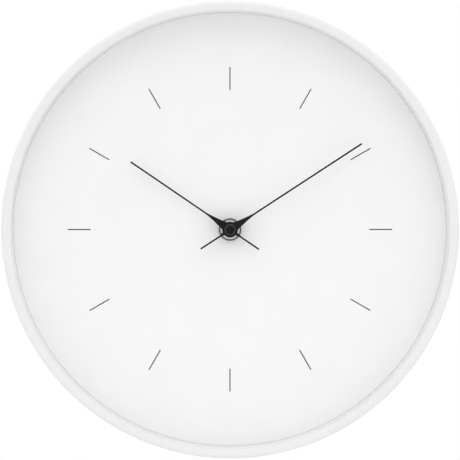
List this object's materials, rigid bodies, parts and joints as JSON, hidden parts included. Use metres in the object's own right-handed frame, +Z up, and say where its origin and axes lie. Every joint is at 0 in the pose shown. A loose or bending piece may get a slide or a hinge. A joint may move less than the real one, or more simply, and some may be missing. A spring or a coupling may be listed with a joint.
{
  "type": "wall clock",
  "caption": "Round open-faced wall clock: deep white case, recessed dial with thin hour marks, needle hands and a battery quartz movement behind.",
  "frame": {"origin": "on the clock's axis, half way between the rim's front face and the case's rear edge, which is the centre of its box", "axes": "+Y points to the wall, -Y is the dial side, +Z is up through twelve o'clock, +X is to the right as seen from the front"},
  "size_m": [0.275, 0.044, 0.275],
  "materials": {
    "case_white": "matte moulded white plastic, finely spark-eroded grain",
    "dial_white": "flat matte white paint with thin dark printed hour marks",
    "hand_black": "satin black paint",
    "nut_bright": "bright nickel plate",
    "brass": "turned brass",
    "steel": "zinc plated and bare steel",
    "rubber": "black rubber",
    "movement_black": "black moulded plastic",
    "gear_plastic": "natural acetal",
    "plate_plastic": "grey moulded plastic",
    "magnet": "sintered magnet",
    "copper": "enamelled copper wire",
    "board_green": "green solder mask",
    "battery_sleeve": "plain plastic sleeve with steel ends, no printing"
  },
  "bodies": {
    "case": {"case_body": "case_white", "dial_sheet": "dial_white", "fixing_nut": "nut_bright", "dial_washer": "brass", "rubber_gasket": "rubber", "hanger_bracket": "steel", "movement_front_plate": "movement_black", "movement_body": "movement_black", "middle_plate": "plate_plastic", "train_plate": "plate_plastic", "stator": "steel", "coil_core": "steel", "coil_bobbin": "plate_plastic", "coil_winding": "copper", "stator_screw_1": "steel", "stator_screw_2": "steel", "circuit_board": "board_green", "chip_cap": "movement_black", "crystal_can": "steel", "battery_contact_plus": "steel", "battery_contact_minus": "steel"},
    "minute": {"minute_hand": "hand_black", "minute_arbor": "steel", "clutch_spring": "steel", "hand_cap_nut": "hand_black"},
    "hour": {"hour_hand": "hand_black", "hour_wheel": "brass"},
    "minute_work": {"minute_work_wheel": "gear_plastic", "setting_knob": "movement_black"},
    "rotor": {"rotor_pinion": "gear_plastic", "rotor_magnet": "magnet"},
    "intermediate": {"intermediate_wheel": "gear_plastic"},
    "seconds": {"seconds_wheel": "gear_plastic"},
    "third": {"third_wheel": "gear_plastic"},
    "centre": {"centre_wheel": "brass"},
    "battery": {"battery_cell": "battery_sleeve"}
  },
  "joints": [
    {"name": "minute_hand_turn", "type": "hinge", "parent": "case", "child": "minute", "pos_m": [0, 0, 0], "axis": [0, 1, 0], "continuous": true},
    {"name": "hour_hand_turn", "type": "hinge", "parent": "case", "child": "hour", "pos_m": [0, 0, 0], "axis": [0, 1, 0], "continuous": true},
    {"name": "setting_knob_turn", "type": "hinge", "parent": "case", "child": "minute_work", "pos_m": [-0.01034, 0, 0.00182], "axis": [0, 1, 0], "continuous": true},
    {"name": "rotor_turn", "type": "hinge", "parent": "case", "child": "rotor", "pos_m": [-0.00659, 0, 0.01446], "axis": [0, 1, 0], "continuous": true},
    {"name": "intermediate_wheel_turn", "type": "hinge", "parent": "case", "child": "intermediate", "pos_m": [-0.00299, 0, 0.00822], "axis": [0, 1, 0], "continuous": true},
    {"name": "seconds_wheel_turn", "type": "hinge", "parent": "case", "child": "seconds", "pos_m": [0, 0, 0], "axis": [0, 1, 0], "continuous": true},
    {"name": "third_wheel_turn", "type": "hinge", "parent": "case", "child": "third", "pos_m": [0.00974, 0, 0.00261], "axis": [0, 1, 0], "continuous": true},
    {"name": "centre_wheel_turn", "type": "hinge", "parent": "case", "child": "centre", "pos_m": [0, 0, 0], "axis": [0, 1, 0], "continuous": true},
    {"name": "battery_pull", "type": "slide", "parent": "case", "child": "battery", "axis": [0, 1, 0], "range_m": [0, 0.025]}
  ],
  "couplings": [
    {"joint": "hour_hand_turn", "follows": "minute_hand_turn", "ratio": 0.083333},
    {"joint": "setting_knob_turn", "follows": "minute_hand_turn", "ratio": -0.33333},
    {"joint": "intermediate_wheel_turn", "follows": "rotor_turn", "ratio": -0.2},
    {"joint": "seconds_wheel_turn", "follows": "rotor_turn", "ratio": 0.033333},
    {"joint": "third_wheel_turn", "follows": "rotor_turn", "ratio": -0.0044444},
    {"joint": "centre_wheel_turn", "follows": "rotor_turn", "ratio": 0.00055556}
  ]
}
